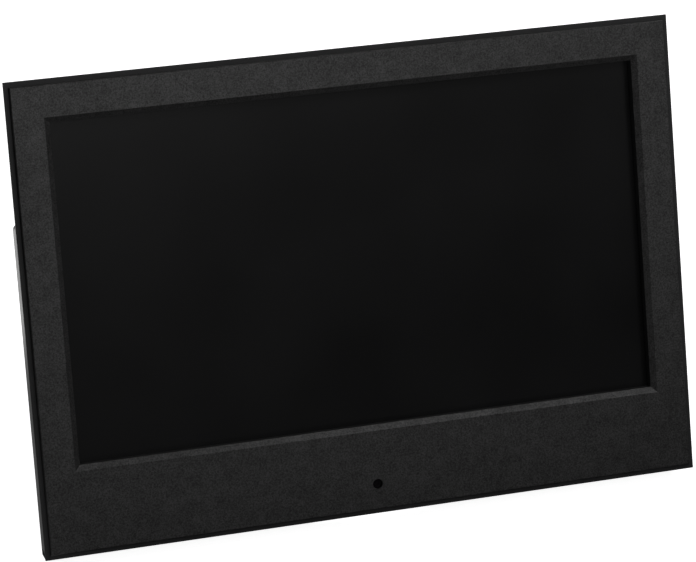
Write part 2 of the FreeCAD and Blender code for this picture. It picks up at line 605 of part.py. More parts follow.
def lcd_glass():
    half = ACTIVE_W / 2 + GLASS_SIDE
    top = OPEN_Z + ACTIVE_H / 2 + GLASS_OVER
    bottom = OPEN_Z - ACTIVE_H / 2 - GLASS_UNDER
    return box(-half, half, GLASS_Y, GLASS_BACK, bottom, top)


def lcd_mid_frame():
    inset = LCD_SKIN + MID_GAP
    outer = lcd_block(inset, GLASS_BACK, BACK_PLATE_Y)
    return ring(outer, lcd_block(inset + MID_WALL, 0, THROUGH))


def lcd_sheet(y0, thickness, rise):
    """A sheet inside the mid frame, its bottom edge raised to make room for the lamps."""
    half = LCD_W / 2 - SHEET_INSET
    return box(-half, half, y0, y0 + thickness, SHEET_LOW + rise, LCD_TOP - SHEET_INSET)


def lcd_diffuser():
    return lcd_sheet(GLASS_BACK + SHEET_GAP, DIFFUSER_T, DIFFUSER_RISE)


def lcd_light_guide():
    return lcd_sheet(GUIDE_Y, GUIDE_T, GUIDE_RISE)


def lcd_led_bar():
    """The strip of lamps along the bottom edge of the light guide."""
    low = SHEET_LOW + LED_STRIP_RISE
    half = LED_STRIP_W / 2
    parts = [box(-half, half, GUIDE_Y, GUIDE_Y + GUIDE_T, low, low + LED_STRIP_H)]
    z0 = low + LED_STRIP_H - LED_SUNK
    depth = (GUIDE_Y + LED_SKIN, GUIDE_Y + GUIDE_T - LED_SKIN)
    for i in range(LED_COUNT):
        x = (i - (LED_COUNT - 1) / 2) * LED_STEP
        parts.append(box(x - LED_W / 2, x + LED_W / 2, *depth, z0, z0 + LED_H))
    return fuse(parts)


def lcd_driver_board():
    low = SHEET_LOW + DRIVER_RISE
    half = DRIVER_W / 2
    return box(-half, half, GUIDE_Y, GUIDE_Y + DRIVER_T, low, low + DRIVER_H)


def lcd_back_plate():
    return lcd_block(LCD_SKIN + MID_GAP, BACK_PLATE_Y, BACK_PLATE_Y + BACK_PLATE_T)


def lcd_brackets():
    """Four steel tabs that hold the display down on the frame's bosses."""
    tabs = []
    for x, z in BRACKET_SPOTS:
        middle = x - math.copysign(TAB_SHIFT, x)
        tab = slab(middle, z, TAB_W, TAB_H, TAB_CORNER, LCD_BACK, LCD_BACK + TAB_T)
        tabs.append(tab.cut(rod_y(x, z, SCREW_R, 0, THROUGH)))
    return group(tabs)


def bracket_screws():
    sizes = (LCD_BACK + TAB_T, BRACKET_TIP_Y, BRACKET_HEAD_R, SMALL_HEAD, BRACKET_SCREW_R)
    return group([screw(x, z, *sizes) for x, z in BRACKET_SPOTS])


def lcd_ribbon():
    """The flat lead that folds round under the display and up to the main board."""
    wide = (RIBBON_X - RIBBON_W / 2, RIBBON_X + RIBBON_W / 2)
    low = LCD_BOTTOM - RIBBON_DROP
    t = FLAT_LEAD_T
    rear = MAIN_TOP + RIBBON_GAP
    up_front = box(*wide, LCD_BACK, LCD_BACK + t, low, LCD_BOTTOM + RIBBON_RISE)
    across = box(*wide, LCD_BACK, rear + t, low, low + t)
    up_back = box(*wide, rear, rear + t, low, MAIN_LOW + RIBBON_LAP)
    return fuse([up_front, across, up_back])


# ================================================================ main board
def board(area, y0, spots):
    """A bare board that fills the area, with a hole at each screw."""
    x0, x1, z0, z1 = area
    y1 = y0 + BOARD_T
    blank = slab((x0 + x1) / 2, (z0 + z1) / 2, x1 - x0, z1 - z0, BOARD_CORNER, y0, y1)
    return cut(blank, [rod_y(x, z, SCREW_R, y0 - PAST, y1 + PAST) for x, z in spots])


def package(x, z, width, height, thickness):
    """A flat block soldered on the main board."""
    return slab(x, z, width, height, PACKAGE_CORNER, MAIN_TOP, MAIN_TOP + thickness)


def main_board():
    return board(MAIN, MAIN_Y, BOARD_SPOTS)


def board_chips():
    return group([package(*chip) for chip in CHIPS])


def board_capacitors():
    cans = []
    base_top = MAIN_TOP + CAN_BASE_T
    for x, z in CAN_SPOTS:
        base = slab(x, z, CAN_BASE, CAN_BASE, CAN_BASE_CORNER, MAIN_TOP, base_top)
        can = rod_y(x, z, CAN_R, base_top, base_top + CAN_H)
        cans.append(fuse([base, can]))
    return group(cans)


def board_sockets():
    """The connectors that the display's flat lead and the three round leads plug into."""
    ribbon = (RIBBON_SOCKET_W, RIBBON_SOCKET_H, RIBBON_SOCKET_T)
    lead = (LEAD_SOCKET_W, LEAD_SOCKET_H, LEAD_SOCKET_T)
    made = [package(RIBBON_X, MAIN_LOW + RIBBON_SOCKET_RISE, *ribbon)]
    made += [package(x, MAIN_LOW + LEAD_SOCKET_RISE, *lead) for x in LEAD_SOCKET_X]
    return group(made)


def board_screws():
    sizes = (MAIN_Y, MAIN_TOP + BOARD_BITE, HEAD_R, SMALL_HEAD, PILOT_R)
    return group([screw(x, z, *sizes) for x, z in BOARD_SPOTS])


def cell_holder():
    """The plastic cradle that the clock's cell clips into."""
    width = 2 * (CELL_R + HOLDER_WALL)
    outer = slab(CELL_X, CELL_Z, width, width, HOLDER_CORNER, MAIN_TOP, MAIN_TOP + HOLDER_T)
    return outer.cut(rod_y(CELL_X, CELL_Z, CELL_R + CELL_GAP, MAIN_TOP + HOLDER_FLOOR, THROUGH))


def clock_cell():
    low = MAIN_TOP + HOLDER_FLOOR
    top = low + CELL_T
    case = rod_y(CELL_X, CELL_Z, CELL_R, low, top - CELL_CAP_T)
    cap = rod_y(CELL_X, CELL_Z, CELL_R - CELL_CAP_STEP, top - CELL_CAP_T, top)
    return fuse([case, cap])


def sd_socket():
    low = MAIN_TOP + CARD_SKIN
    high = low + CARD_H
    half = CARD_W / 2
    outer = half + CARD_SIDE
    body = box(
        SOCKET_X - CARD_BODY, SOCKET_X, MAIN_TOP, high + CARD_SKIN,
        CARD_Z - outer, CARD_Z + outer,
    )
    mouth = (SOCKET_X - CARD_DEPTH, SOCKET_X + PAST)
    return body.cut(box(*mouth, low, high, CARD_Z - half, CARD_Z + half))


def shell_socket(z, width, height, depth, skin, tongue_y, tongue_t, tongue_inset):
    """A metal-shelled socket with a tongue inside, open on the right."""
    x0 = SOCKET_X - depth
    y0, y1 = MAIN_TOP, MAIN_TOP + height
    half = width / 2
    body = box(x0, SOCKET_X, y0, y1, z - half, z + half)
    mouth = box(
        x0 + SHELL_END, SOCKET_X + PAST, y0 + skin, y1 - skin,
        z - half + skin, z + half - skin,
    )
    tongue_x = (x0 + SHELL_END - OVERLAP, SOCKET_X - TONGUE_SINK)
    y0 += tongue_y
    half -= tongue_inset
    tongue = box(*tongue_x, y0, y0 + tongue_t, z - half, z + half)
    return fuse([body.cut(mouth), tongue])


def usb_socket():
    tongue = (USB_TONGUE_Y, USB_TONGUE_T, USB_TONGUE_INSET)
    return shell_socket(USB_Z, USB_W, USB_H, USB_BODY, USB_SKIN, *tongue)


def mini_usb_socket():
    tongue = (SMALL_TONGUE_Y, SMALL_TONGUE_T, SMALL_TONGUE_INSET)
    outside = (SMALL_USB_Z, SMALL_USB_W, SMALL_USB_H, SMALL_USB_BODY)
    return shell_socket(*outside, SMALL_SKIN, *tongue)


def earphone_jack():
    """The jack's body and the round nose that fills its hole in the wall."""
    outer_x = HOUSE_W / 2
    half = EAR_BODY_W / 2
    body = box(
        SOCKET_X - EAR_BODY, SOCKET_X - EAR_BODY_SINK, MAIN_TOP, MAIN_TOP + EAR_BODY_T,
        EAR_Z - half, EAR_Z + half,
    )
    nose = rod_x(EAR_Y, EAR_Z, EAR_NOSE_R, SOCKET_X - PAST, outer_x)
    bore = rod_x(EAR_Y, EAR_Z, EAR_R, outer_x - EAR_DEPTH, outer_x + PAST)
    return fuse([body, nose]).cut(bore)


def dc_jack():
    """The power inlet: a round socket with a pin in the middle."""
    half = POWER_BODY_W / 2
    body = box(
        SOCKET_X - POWER_BODY, SOCKET_X, MAIN_TOP, MAIN_TOP + POWER_BODY_T,
        POWER_Z - half, POWER_Z + half,
    )
    floor = SOCKET_X - POWER_DEPTH
    bore = rod_x(POWER_Y, POWER_Z, POWER_R, floor, SOCKET_X + PAST)
    pin = rod_x(POWER_Y, POWER_Z, POWER_PIN_R, floor - OVERLAP, SOCKET_X - PAST)
    return fuse([body.cut(bore), pin])


# ================================================================ keys
def key_board():
    return board(KEY_BOARD, KEYS_Y, KEY_SPOTS)


def key_switches():
    """One small push switch under each key."""
    half = SWITCH_BODY / 2
    made = []
    for x, z, _, _ in KEYS.values():
        top = KEYS_TOP + SWITCH_H
        body = box(x - half, x + half, KEYS_TOP, top, z - half, z + half)
        made.append(fuse([body, rod_y(x, z, SWITCH_TIP_R, top, top + SWITCH_TIP)]))
    return group(made)


def key_board_screws():
    sizes = (KEYS_Y, KEYS_TOP + KEY_BITE, HEAD_R, SMALL_HEAD, PILOT_R)
    return group([screw(x, z, *sizes) for x, z in KEY_SPOTS])


def key(name):
    """A cap that stands proud of the back wall, its retaining flange and its stem."""
    x, z, width, height = KEYS[name]
    flange_top = INNER_BACK - KEY_SPARE
    flange_low = flange_top - KEY_FLANGE_T
    inside = flange_low + KEY_SPARE
    face = HOUSE_BACK + KEY_PROUD
    cap = slab(x, z, width, height, KEY_CORNER, inside, face)
    cap = cap.makeFillet(KEY_TOP_ROUND, edges_at(cap, "y", face))
    grown = (width + 2 * KEY_FLANGE, height + 2 * KEY_FLANGE, KEY_CORNER + KEY_FLANGE)
    flange = slab(x, z, *grown, flange_low, flange_top)
    tip = KEYS_TOP + SWITCH_H + SWITCH_TIP + KEY_TRAVEL + KEY_SPARE
    stem = rod_y(x, z, KEY_STEM_R, tip, inside)
    return fuse([cap, flange, stem])


def key_ribbon():
    """The flat lead from the key board behind the display to the main board."""
    z0, z1 = KEY_LEAD_Z - KEY_LEAD_W / 2, KEY_LEAD_Z + KEY_LEAD_W / 2
    t = FLAT_LEAD_T
    y = LCD_BACK + OVERLAP
    left = KEY_BOARD[1] - KEY_LEAD_BESIDE
    right = MAIN[0] + KEY_LEAD_UNDER
    on_keys = box(left - KEY_LEAD_LAP, left + t, KEYS_Y - t, KEYS_Y, z0, z1)
    down = box(left, left + t, y, KEYS_Y, z0, z1)
    across = box(left, right, y, y + t, z0, z1)
    up = box(right - t, right, y, MAIN_Y, z0, z1)
    return fuse([on_keys, down, across, up])


# ================================================================ sensor
def ir_board():
    outline = (SENSOR_BOARD_W, SENSOR_BOARD_H, SENSOR_BOARD_CORNER)
    return slab(0, SENSOR_Z, *outline, SENSOR_BOARD_Y, SENSOR_BOARD_Y + BOARD_T)


def ir_receiver():
    """The receiver behind the lens: a block with a domed eye."""
    half_w, half_h = EYE_W / 2, EYE_H / 2
    body = box(
        -half_w, half_w, EYE_FACE_Y, SENSOR_BOARD_Y,
        SENSOR_Z - half_h, SENSOR_Z + half_h,
    )
    return fuse([body, Part.makeSphere(EYE_R, V(0, EYE_FACE_Y, SENSOR_Z))])


# ================================================================ sound
def speaker(side):
    """An oval speaker on the back wall: frame, basket and magnet."""
    x = side * SPEAKER_X
    top = INNER_BACK - SPEAKER_GASKET
    under_rim = top - SPEAKER_RIM
    under_basket = under_rim - SPEAKER_BASKET
    rim = speaker_oval(x, under_rim, top)
    basket = slab(x, SPEAKER_Z, BASKET_W, BASKET_H, BASKET_CORNER, under_basket, under_rim)
    magnet = rod_y(x, SPEAKER_Z, MAGNET_R, under_basket - SPEAKER_MAGNET, under_basket)
    return fuse([rim, basket, magnet])


def speaker_oval(x, y0, y1):
    """A plate with the outline of a speaker's rim."""
    return slab(x, SPEAKER_Z, SPEAKER_W, SPEAKER_H, SPEAKER_H * ROUND_END, y0, y1)


def speaker_gaskets():
    rings = []
    for s in (-1, 1):
        x = s * SPEAKER_X
        outer = speaker_oval(x, INNER_BACK - SPEAKER_GASKET, INNER_BACK)
        inner = slab(x, SPEAKER_Z, BASKET_W, BASKET_H, BASKET_CORNER, 0, THROUGH)
        rings.append(ring(outer, inner))
    return group(rings)


def speaker_leads():
    """The right speaker's lead goes straight up; the left one passes in front of the recess."""
    basket_end = SPEAKER_X - BASKET_W / 2
    far_socket, near_socket = LEAD_SOCKET_X[0], LEAD_SOCKET_X[-1]
    foot_z = MAIN_LOW + SOCKET_FOOT
    right = [
        (basket_end, LEAD_Y, SPEAKER_Z),
        (near_socket, LEAD_Y, SPEAKER_Z),
        (near_socket, LEAD_Y, foot_z),
    ]
    left = [
        (-basket_end, LEAD_Y, SPEAKER_Z),
        (DIP_START, LEAD_Y, SPEAKER_Z),
        (DIP_LEFT, DIP_Y, SPEAKER_Z),
        (DIP_RIGHT, DIP_Y, SPEAKER_Z),
        (far_socket, LEAD_Y, SPEAKER_Z + DIP_RISE),
        (far_socket, LEAD_Y, foot_z),
    ]
    return group([tube(right, LEAD_R, LEAD_BEND), tube(left, LEAD_R, LEAD_BEND)])


def sensor_lead():
    low = SENSOR_Z - SENSOR_LEAD_DROP
    y = SENSOR_BOARD_Y + BOARD_T / 2
    socket = LEAD_SOCKET_X[1]
    route = [
        (SENSOR_LEAD_START, y, low),
        (SENSOR_LEAD_TURN, y, low),
        (socket, LEAD_Y, low + SENSOR_LEAD_RISE),
        (socket, LEAD_Y, MAIN_LOW + SOCKET_FOOT),
    ]
    return tube(route, LEAD_R, LEAD_BEND)


# ================================================================ stand
def stand_leg():
    """The folding leg: outer skin, side walls, ribs, barrel, heel and a tongue for the pad."""
    half = LEG_W / 2
    front, back = HINGE_Y - LEG_R, HINGE_Y + LEG_R
    end_z = HINGE_Z - leg_reach() + PAD_UP
    blocks = [box(-half, half, back - LEG_SKIN, back, end_z, HINGE_Z)]
    for x0 in (-half, half - LEG_WALL):
        blocks.append(box(x0, x0 + LEG_WALL, front, back, end_z, HINGE_Z))
    rib_front = front + LEG_RIB_SINK
    half_rib = LEG_RIB / 2
    first = end_z + half_rib
    step = (HINGE_Z - LEG_RIBS_BELOW_PIN - first) / (LEG_RIB_COUNT - 1)
    for i in range(LEG_RIB_COUNT):
        z = first + i * step
        blocks.append(box(-half, half, rib_front, back, z - half_rib, z + half_rib))
    spine_top = HINGE_Z - LEG_SPINE_BELOW_PIN
    blocks.append(box(-half_rib, half_rib, rib_front, back, end_z, spine_top))
    blocks.append(rod_x(HINGE_Y, HINGE_Z, LEG_R, -half, half))
    heel = box(-half, half, front, back, HINGE_Z, HINGE_Z + HEEL)
    blocks.append(heel.makeFillet(HEEL_ROUND, ridge(heel, back, HINGE_Z + HEEL)))
    blocks.append(pad_tongue())
    leg = fuse(blocks).cut(rod_x(HINGE_Y, HINGE_Z, LEG_BORE_R, -half - PAST, half + PAST))
    stop = box(-LEG_W, LEG_W, 0, WELL_FLOOR + STOP_GAP, HINGE_Z - LEG_W, HINGE_Z + LEG_W)
    return open_leg(leg).cut(stop)


def pad_tongue():
    """The tongue on the folded leg's end that the soft pad is pushed over."""
    half = LEG_W / 2 - PAD_TONGUE_INSET
    half_t = PAD_TONGUE_T / 2
    end = HINGE_Z - leg_reach()
    return box(-half, half, HINGE_Y - half_t, HINGE_Y + half_t, end + PAD_TONGUE_GAP, end + PAD_UP + PAST)


def stand_foot_pad():
    """The soft round end that the leg stands on."""
    half = LEG_W / 2
    end = HINGE_Z - leg_reach()
    block = box(-half, half, HINGE_Y - LEG_R, HINGE_Y + LEG_R, end, end + PAD_UP)
    round_end = rod_x(HINGE_Y, end, LEG_R, -half, half)
    return open_leg(fuse([block, round_end]).cut(pad_tongue()))


def hinge_pin():
    """The steel pin with a head at one end and a groove for its clip at the other."""
    shaft = rod_x(HINGE_Y, HINGE_Z, PIN_R, -PIN_REACH - PIN_END, PIN_REACH + PIN_HEAD_T / 2)
    head = rod_x(HINGE_Y, HINGE_Z, PIN_HEAD_R, PIN_REACH, PIN_REACH + PIN_HEAD_T)
    outside = rod_x(HINGE_Y, HINGE_Z, PIN_R + PAST, -PIN_REACH - PIN_GROOVE, -PIN_REACH)
    return fuse([shaft, head]).cut(ring(outside, groove_core()))


def groove_core():
    """What is left of the pin inside its groove."""
    radius = PIN_R - PIN_GROOVE_DEPTH
    return rod_x(HINGE_Y, HINGE_Z, radius, -PIN_REACH - PAST, -PIN_REACH + PAST)


def hinge_clip():
    """The C-shaped clip in the pin's groove."""
    middle = -PIN_REACH - PIN_GROOVE / 2
    disc = rod_x(HINGE_Y, HINGE_Z, PIN_HEAD_R, middle - CLIP_T / 2, middle + CLIP_T / 2)
    half = CLIP_SLOT / 2
    slot = box(
        middle - PAST, middle + PAST, HINGE_Y - PIN_HEAD_R - PAST, HINGE_Y,
        HINGE_Z - half, HINGE_Z + half,
    )
    return disc.cut(groove_core()).cut(slot)


def friction_washers():
    """Spring washers between the leg's barrel and the recess walls."""
    made = []
    for s in (-1, 1):
        middle = s * (LEG_W + WELL_W) / 4
        disc = rod_x(HINGE_Y, HINGE_Z, WASHER_R, middle - WASHER_T / 2, middle + WASHER_T / 2)
        made.append(disc.cut(rod_x(HINGE_Y, HINGE_Z, PIN_R, middle - PAST, middle + PAST)))
    return group(made)


def mirrored(side, near, far):
    """A span of x that runs from near to far on one side of the middle, lowest first."""
    return sorted((side * near, side * far))


def hinge_brackets():
    """Steel angles inside the cover that carry the pin's ends."""
    front = HINGE_BOSS_Y - BRACKET_PLATE
    outside = WEB_X + BRACKET_PLATE
    made = []
    for s in (-1, 1):
        web = box(
            *mirrored(s, WEB_X, outside), front, INNER_BACK - BRACKET_GAP,
            HINGE_Z - BRACKET_HALF, HINGE_Z + BRACKET_HALF,
        )
        flange = box(
            *mirrored(s, WEB_X, BRACKET_END_X), front, HINGE_BOSS_Y,
            HINGE_Z - BRACKET_FLANGE_HALF, HINGE_Z + BRACKET_FLANGE_HALF,
        )
        pin_room = box(
            *mirrored(s, outside, outside + PIN_ROOM_X), 0, THROUGH,
            HINGE_Z - PIN_ROOM_Z, HINGE_Z + PIN_ROOM_Z,
        )
        angle = fuse([web, flange.cut(pin_room)])
        holes = [rod_y(x, z, SCREW_R, 0, THROUGH) for x, z in HINGE_SPOTS if x * s > 0]
        holes.append(rod_x(HINGE_Y, HINGE_Z, PIN_R, -WELL_W, WELL_W))
        made.append(cut(angle, holes))
    return group(made)


def hinge_screws():
    sizes = (HINGE_BOSS_Y - BRACKET_PLATE, INNER_BACK + HINGE_BITE, HEAD_R, HINGE_HEAD, PILOT_R)
    return group([screw(x, z, *sizes) for x, z in HINGE_SPOTS])


# ================================================================ assembly
def pieces():
    """Every piece by its node's name, in the panel's frame."""
    made = {
        "front_plate": front_plate(),
        "frame_base": frame_base(),
        "rear_cover": rear_cover(),
        "rear_screws": rear_screws(),
        "rubber_feet": rubber_feet(),
        "screen_gasket": screen_gasket(),
        "lcd_metal_frame": lcd_metal_frame(),
        "lcd_glass": lcd_glass(),
        "lcd_mid_frame": lcd_mid_frame(),
        "lcd_diffuser": lcd_diffuser(),
        "lcd_light_guide": lcd_light_guide(),
        "lcd_led_bar": lcd_led_bar(),
        "lcd_driver_board": lcd_driver_board(),
        "lcd_back_plate": lcd_back_plate(),
        "lcd_brackets": lcd_brackets(),
        "bracket_screws": bracket_screws(),
        "lcd_ribbon": lcd_ribbon(),
        "main_board": main_board(),
        "board_chips": board_chips(),
        "board_capacitors": board_capacitors(),
        "board_sockets": board_sockets(),
        "board_screws": board_screws(),
        "cell_holder": cell_holder(),
        "clock_cell": clock_cell(),
        "sd_socket": sd_socket(),
        "usb_socket": usb_socket(),
        "mini_usb_socket": mini_usb_socket(),
        "earphone_jack": earphone_jack(),
        "dc_jack": dc_jack(),
        "key_board": key_board(),
        "key_switches": key_switches(),
        "key_board_screws": key_board_screws(),
        "key_ribbon": key_ribbon(),
        "ir_board": ir_board(),
        "ir_receiver": ir_receiver(),
        "ir_lens": ir_lens(),
        "sensor_lead": sensor_lead(),
        "speaker_left": speaker(-1),
        "speaker_right": speaker(1),
        "speaker_gaskets": speaker_gaskets(),
        "speaker_leads": speaker_leads(),
        "hinge_pin": hinge_pin(),
        "hinge_clip": hinge_clip(),
        "friction_washers": friction_washers(),
        "hinge_brackets": hinge_brackets(),
        "hinge_screws": hinge_screws(),
        "stand_leg": stand_leg(),
        "stand_foot_pad": stand_foot_pad(),
    }
    for name in KEYS:
        made[name] = key(name)
    return made


def stand_up(shape):
    """Lean the panel back and set it on the table at z = 0."""
    stood = shape.copy()
    stood.rotate(V(0, 0, 0), V(1, 0, 0), -LEAN)
    stood.translate(V(0, 0, -table_level()))
    return stood


def main():
    os.makedirs("parts", exist_ok=True)
    stood = {name: stand_up(shape) for name, shape in pieces().items()}
    boxes = [shape.optimalBoundingBox(False, False) for shape in stood.values()]
    middle = (min(b.YMin for b in boxes) + max(b.YMax for b in boxes)) / 2
    for name, shape in stood.items():
        shape.translate(V(0, -middle, 0))
        shape.exportStep("parts/" + name + ".step")


main()
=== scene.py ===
import json
import math

import bmesh
import bpy
from mathutils import Matrix, Vector


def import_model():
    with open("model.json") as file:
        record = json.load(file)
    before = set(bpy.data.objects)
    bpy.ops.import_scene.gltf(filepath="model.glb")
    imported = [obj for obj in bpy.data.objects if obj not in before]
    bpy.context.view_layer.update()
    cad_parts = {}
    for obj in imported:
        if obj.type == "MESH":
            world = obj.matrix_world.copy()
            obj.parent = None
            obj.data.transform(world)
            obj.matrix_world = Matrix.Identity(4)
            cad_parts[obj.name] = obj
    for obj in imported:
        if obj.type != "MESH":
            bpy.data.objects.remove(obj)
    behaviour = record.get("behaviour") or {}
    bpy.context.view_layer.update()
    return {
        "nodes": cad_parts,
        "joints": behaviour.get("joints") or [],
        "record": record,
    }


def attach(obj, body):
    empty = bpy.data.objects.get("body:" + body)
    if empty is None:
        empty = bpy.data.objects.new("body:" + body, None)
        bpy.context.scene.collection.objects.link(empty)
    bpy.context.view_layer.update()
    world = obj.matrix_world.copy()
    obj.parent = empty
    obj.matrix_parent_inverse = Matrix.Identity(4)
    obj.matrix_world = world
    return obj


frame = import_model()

record = frame["record"]
nodes = frame["nodes"]
MM = 0.001


# ================================================================ the panel's own frame
# x to the right, y to the back, z up along the panel, in millimetres, with 0 on the front plate's
# face, in the middle of the rim's bottom edge. The stand's hinge and a keyhole's axis fix it.
HINGE_Y, HINGE_Z = 16.4, 112.0       # the stand's hinge line in that frame
mounts = {m["name"]: m for m in record["mounts"]}
hinge = next(j for j in frame["joints"] if j["name"] == "stand_hinge")
BACK = Vector(mounts["left_keyhole"]["axis"]).normalized()
RIGHT = Vector((1, 0, 0))
UP = RIGHT.cross(BACK)
ORIGIN = Vector(hinge["pos_m"]) - (BACK * HINGE_Y + UP * HINGE_Z) * MM


def at(x, y, z):
    """A point of the panel's frame, in the row frame."""
    return ORIGIN + (RIGHT * x + BACK * y + UP * z) * MM


def extent(name):
    """The lowest and highest x, y and z of a CAD node in the panel's frame, in millimetres."""
    found = [(v.co - ORIGIN) / MM for v in nodes[name].data.vertices]
    spots = [(p.dot(RIGHT), p.dot(BACK), p.dot(UP)) for p in found]
    return tuple(map(min, zip(*spots))), tuple(map(max, zip(*spots)))


def middle(low, high):
    """The x and z halfway between two corners."""
    return (low[0] + high[0]) / 2, (low[2] + high[2]) / 2


# ================================================================ materials
def material(name, colour, roughness, **sockets):
    """A new Principled material: (material, node tree, shader)."""
    made = bpy.data.materials.new(name)
    made.use_nodes = True
    tree = made.node_tree
    shader = tree.nodes["Principled BSDF"]
    shader.inputs["Base Color"].default_value = (*colour, 1)
    shader.inputs["Roughness"].default_value = roughness
    for socket, value in sockets.items():
        shader.inputs[socket.replace("_", " ")].default_value = value
    return made, tree, shader


def place(tree, turn=(0, 0, 0)):
    """Object coordinates, turned by degrees about x, y and z."""
    coords = tree.nodes.new("ShaderNodeTexCoord")
    mapping = tree.nodes.new("ShaderNodeMapping")
    mapping.inputs["Rotation"].default_value = [math.radians(angle) for angle in turn]
    tree.links.new(coords.outputs["Object"], mapping.inputs["Vector"])
    return mapping.outputs["Vector"]


def noise(tree, size_mm, detail=2.0, rough=0.5):
    """Noise whose features are about size_mm across."""
    node = tree.nodes.new("ShaderNodeTexNoise")
    node.inputs["Scale"].default_value = 1 / (size_mm * MM)
    node.inputs["Detail"].default_value = detail
    node.inputs["Roughness"].default_value = rough
    tree.links.new(place(tree), node.inputs["Vector"])
    return node.outputs["Fac"]


def product(tree, one, other):
    """Two values multiplied."""
    node = tree.nodes.new("ShaderNodeMath")
    node.operation = "MULTIPLY"
    tree.links.new(one, node.inputs[0])
    tree.links.new(other, node.inputs[1])
    return node.outputs["Value"]


def spread(tree, value, low, high, start=0.3, stop=0.7):
    """A value from start to stop, mapped to low to high."""
    node = tree.nodes.new("ShaderNodeMapRange")
    node.inputs["From Min"].default_value = start
    node.inputs["From Max"].default_value = stop
    node.inputs["To Min"].default_value = low
    node.inputs["To Max"].default_value = high
    tree.links.new(value, node.inputs["Value"])
    return node.outputs["Result"]


def tint(tree, value, dark, light, start=0.3, stop=0.7):
    """A colour between dark and light, by a value."""
    node = tree.nodes.new("ShaderNodeValToRGB")
    node.color_ramp.elements[0].position = start
    node.color_ramp.elements[0].color = (*dark, 1)
    node.color_ramp.elements[1].position = stop
    node.color_ramp.elements[1].color = (*light, 1)
    tree.links.new(value, node.inputs["Fac"])
    return node.outputs["Color"]


def bump(tree, shader, layers):
    """Raises the surface by (value, height in mm) layers, the coarsest first."""
    normal = None
    for value, height in layers:
        node = tree.nodes.new("ShaderNodeBump")
        node.inputs["Strength"].default_value = 1.0
        node.inputs["Distance"].default_value = height * MM
        tree.links.new(value, node.inputs["Height"])
        if normal is not None:
            tree.links.new(normal, node.inputs["Normal"])
        normal = node.outputs["Normal"]
    tree.links.new(normal, shader.inputs["Normal"])


def shade(colour, factor):
    """A colour made darker or lighter by a factor."""
    return tuple(min(1.0, c * factor) for c in colour)


def plastic(name, colour, roughness, grain_mm, grain_height, **sockets):
    """Moulded plastic: a fine grain, slow mottling, and a roughness that varies with handling."""
    made, tree, shader = material(name, colour, roughness, **sockets)
    slow = noise(tree, 14.0, detail=3.0)
    fine = noise(tree, grain_mm, rough=0.6)
    mottled = tint(tree, slow, shade(colour, 0.9), shade(colour, 1.1))
    tree.links.new(mottled, shader.inputs["Base Color"])
    handled = noise(tree, 30.0, detail=4.0, rough=0.6)
    rough = spread(tree, handled, roughness - 0.04, roughness + 0.04)
    tree.links.new(rough, shader.inputs["Roughness"])
    bump(tree, shader, [(slow, 0.01), (fine, grain_height)])
    return made


def spark_plastic(name, colour, roughness):
    """Spark-eroded plastic: a fine pebbly grain that glints unevenly, with softer patches."""
    made, tree, shader = material(name, colour, roughness)
    grit = noise(tree, 0.62, rough=0.75)
    patches = noise(tree, 5.0)
    slow = noise(tree, 30.0)
    grain = product(tree, grit, spread(tree, patches, 0.9, 1.1))
    speckled = tint(tree, grain, shade(colour, 0.3), shade(colour, 1.9))
    rough = spread(tree, slow, roughness - 0.03, roughness + 0.03)
    tree.links.new(speckled, shader.inputs["Base Color"])
    tree.links.new(spread(tree, grain, 0.48, 1.26), shader.inputs["Specular IOR Level"])
    tree.links.new(rough, shader.inputs["Roughness"])
    bump(tree, shader, [(grain, 0.03)])
    return made


def metal(name, colour, roughness):
    """Plated metal with a fine grain and blotchy lustre."""
    made, tree, shader = material(name, colour, roughness, Metallic=1.0)
    fine = noise(tree, 0.6, detail=4.0, rough=0.6)
    blotches = noise(tree, 6.0, detail=3.0)
    rough = spread(tree, blotches, roughness - 0.06, roughness + 0.1)
    mottled = tint(tree, blotches, shade(colour, 0.85), shade(colour, 1.1))
    tree.links.new(rough, shader.inputs["Roughness"])
    tree.links.new(mottled, shader.inputs["Base Color"])
    bump(tree, shader, [(fine, 0.004)])
    return made


def display_film(name):
    """The display's anti-glare film: near black, matt, with a microscopic grain."""
    colour = (0.009, 0.009, 0.0094)
    made, tree, shader = material(name, colour, 0.33, Specular_IOR_Level=0.19)
    grain = noise(tree, 0.16, detail=1.0)
    slow = noise(tree, 45.0)
    mottled = tint(tree, slow, shade(colour, 0.8), shade(colour, 1.2))
    tree.links.new(mottled, shader.inputs["Base Color"])
    tree.links.new(spread(tree, slow, 0.31, 0.35), shader.inputs["Roughness"])
    bump(tree, shader, [(grain, 0.0015)])
    return made


def smoked(name):
    """Polished smoked plastic."""
    colour = (0.004, 0.003, 0.004)
    made, tree, shader = material(name, colour, 0.12, Specular_IOR_Level=0.2)
    slow = noise(tree, 1.2)
    mottled = tint(tree, slow, shade(colour, 0.7), shade(colour, 1.3))
    tree.links.new(mottled, shader.inputs["Base Color"])
    tree.links.new(spread(tree, slow, 0.1, 0.16), shader.inputs["Roughness"])
    bump(tree, shader, [(slow, 0.002)])
    return made


def rubber(name, colour):
    """Soft rubber or foam with a little dust on it."""
    made, tree, shader = material(name, colour, 0.58, Specular_IOR_Level=0.5)
    dust = noise(tree, 1.5, detail=4.0, rough=0.65)
    fine = noise(tree, 0.25, rough=0.6)
    dusty = tint(tree, dust, colour, shade(colour, 1.8), start=0.45, stop=0.8)
    tree.links.new(dusty, shader.inputs["Base Color"])
    tree.links.new(spread(tree, dust, 0.5, 0.66), shader.inputs["Roughness"])
    bump(tree, shader, [(dust, 0.015), (fine, 0.01)])
    return made


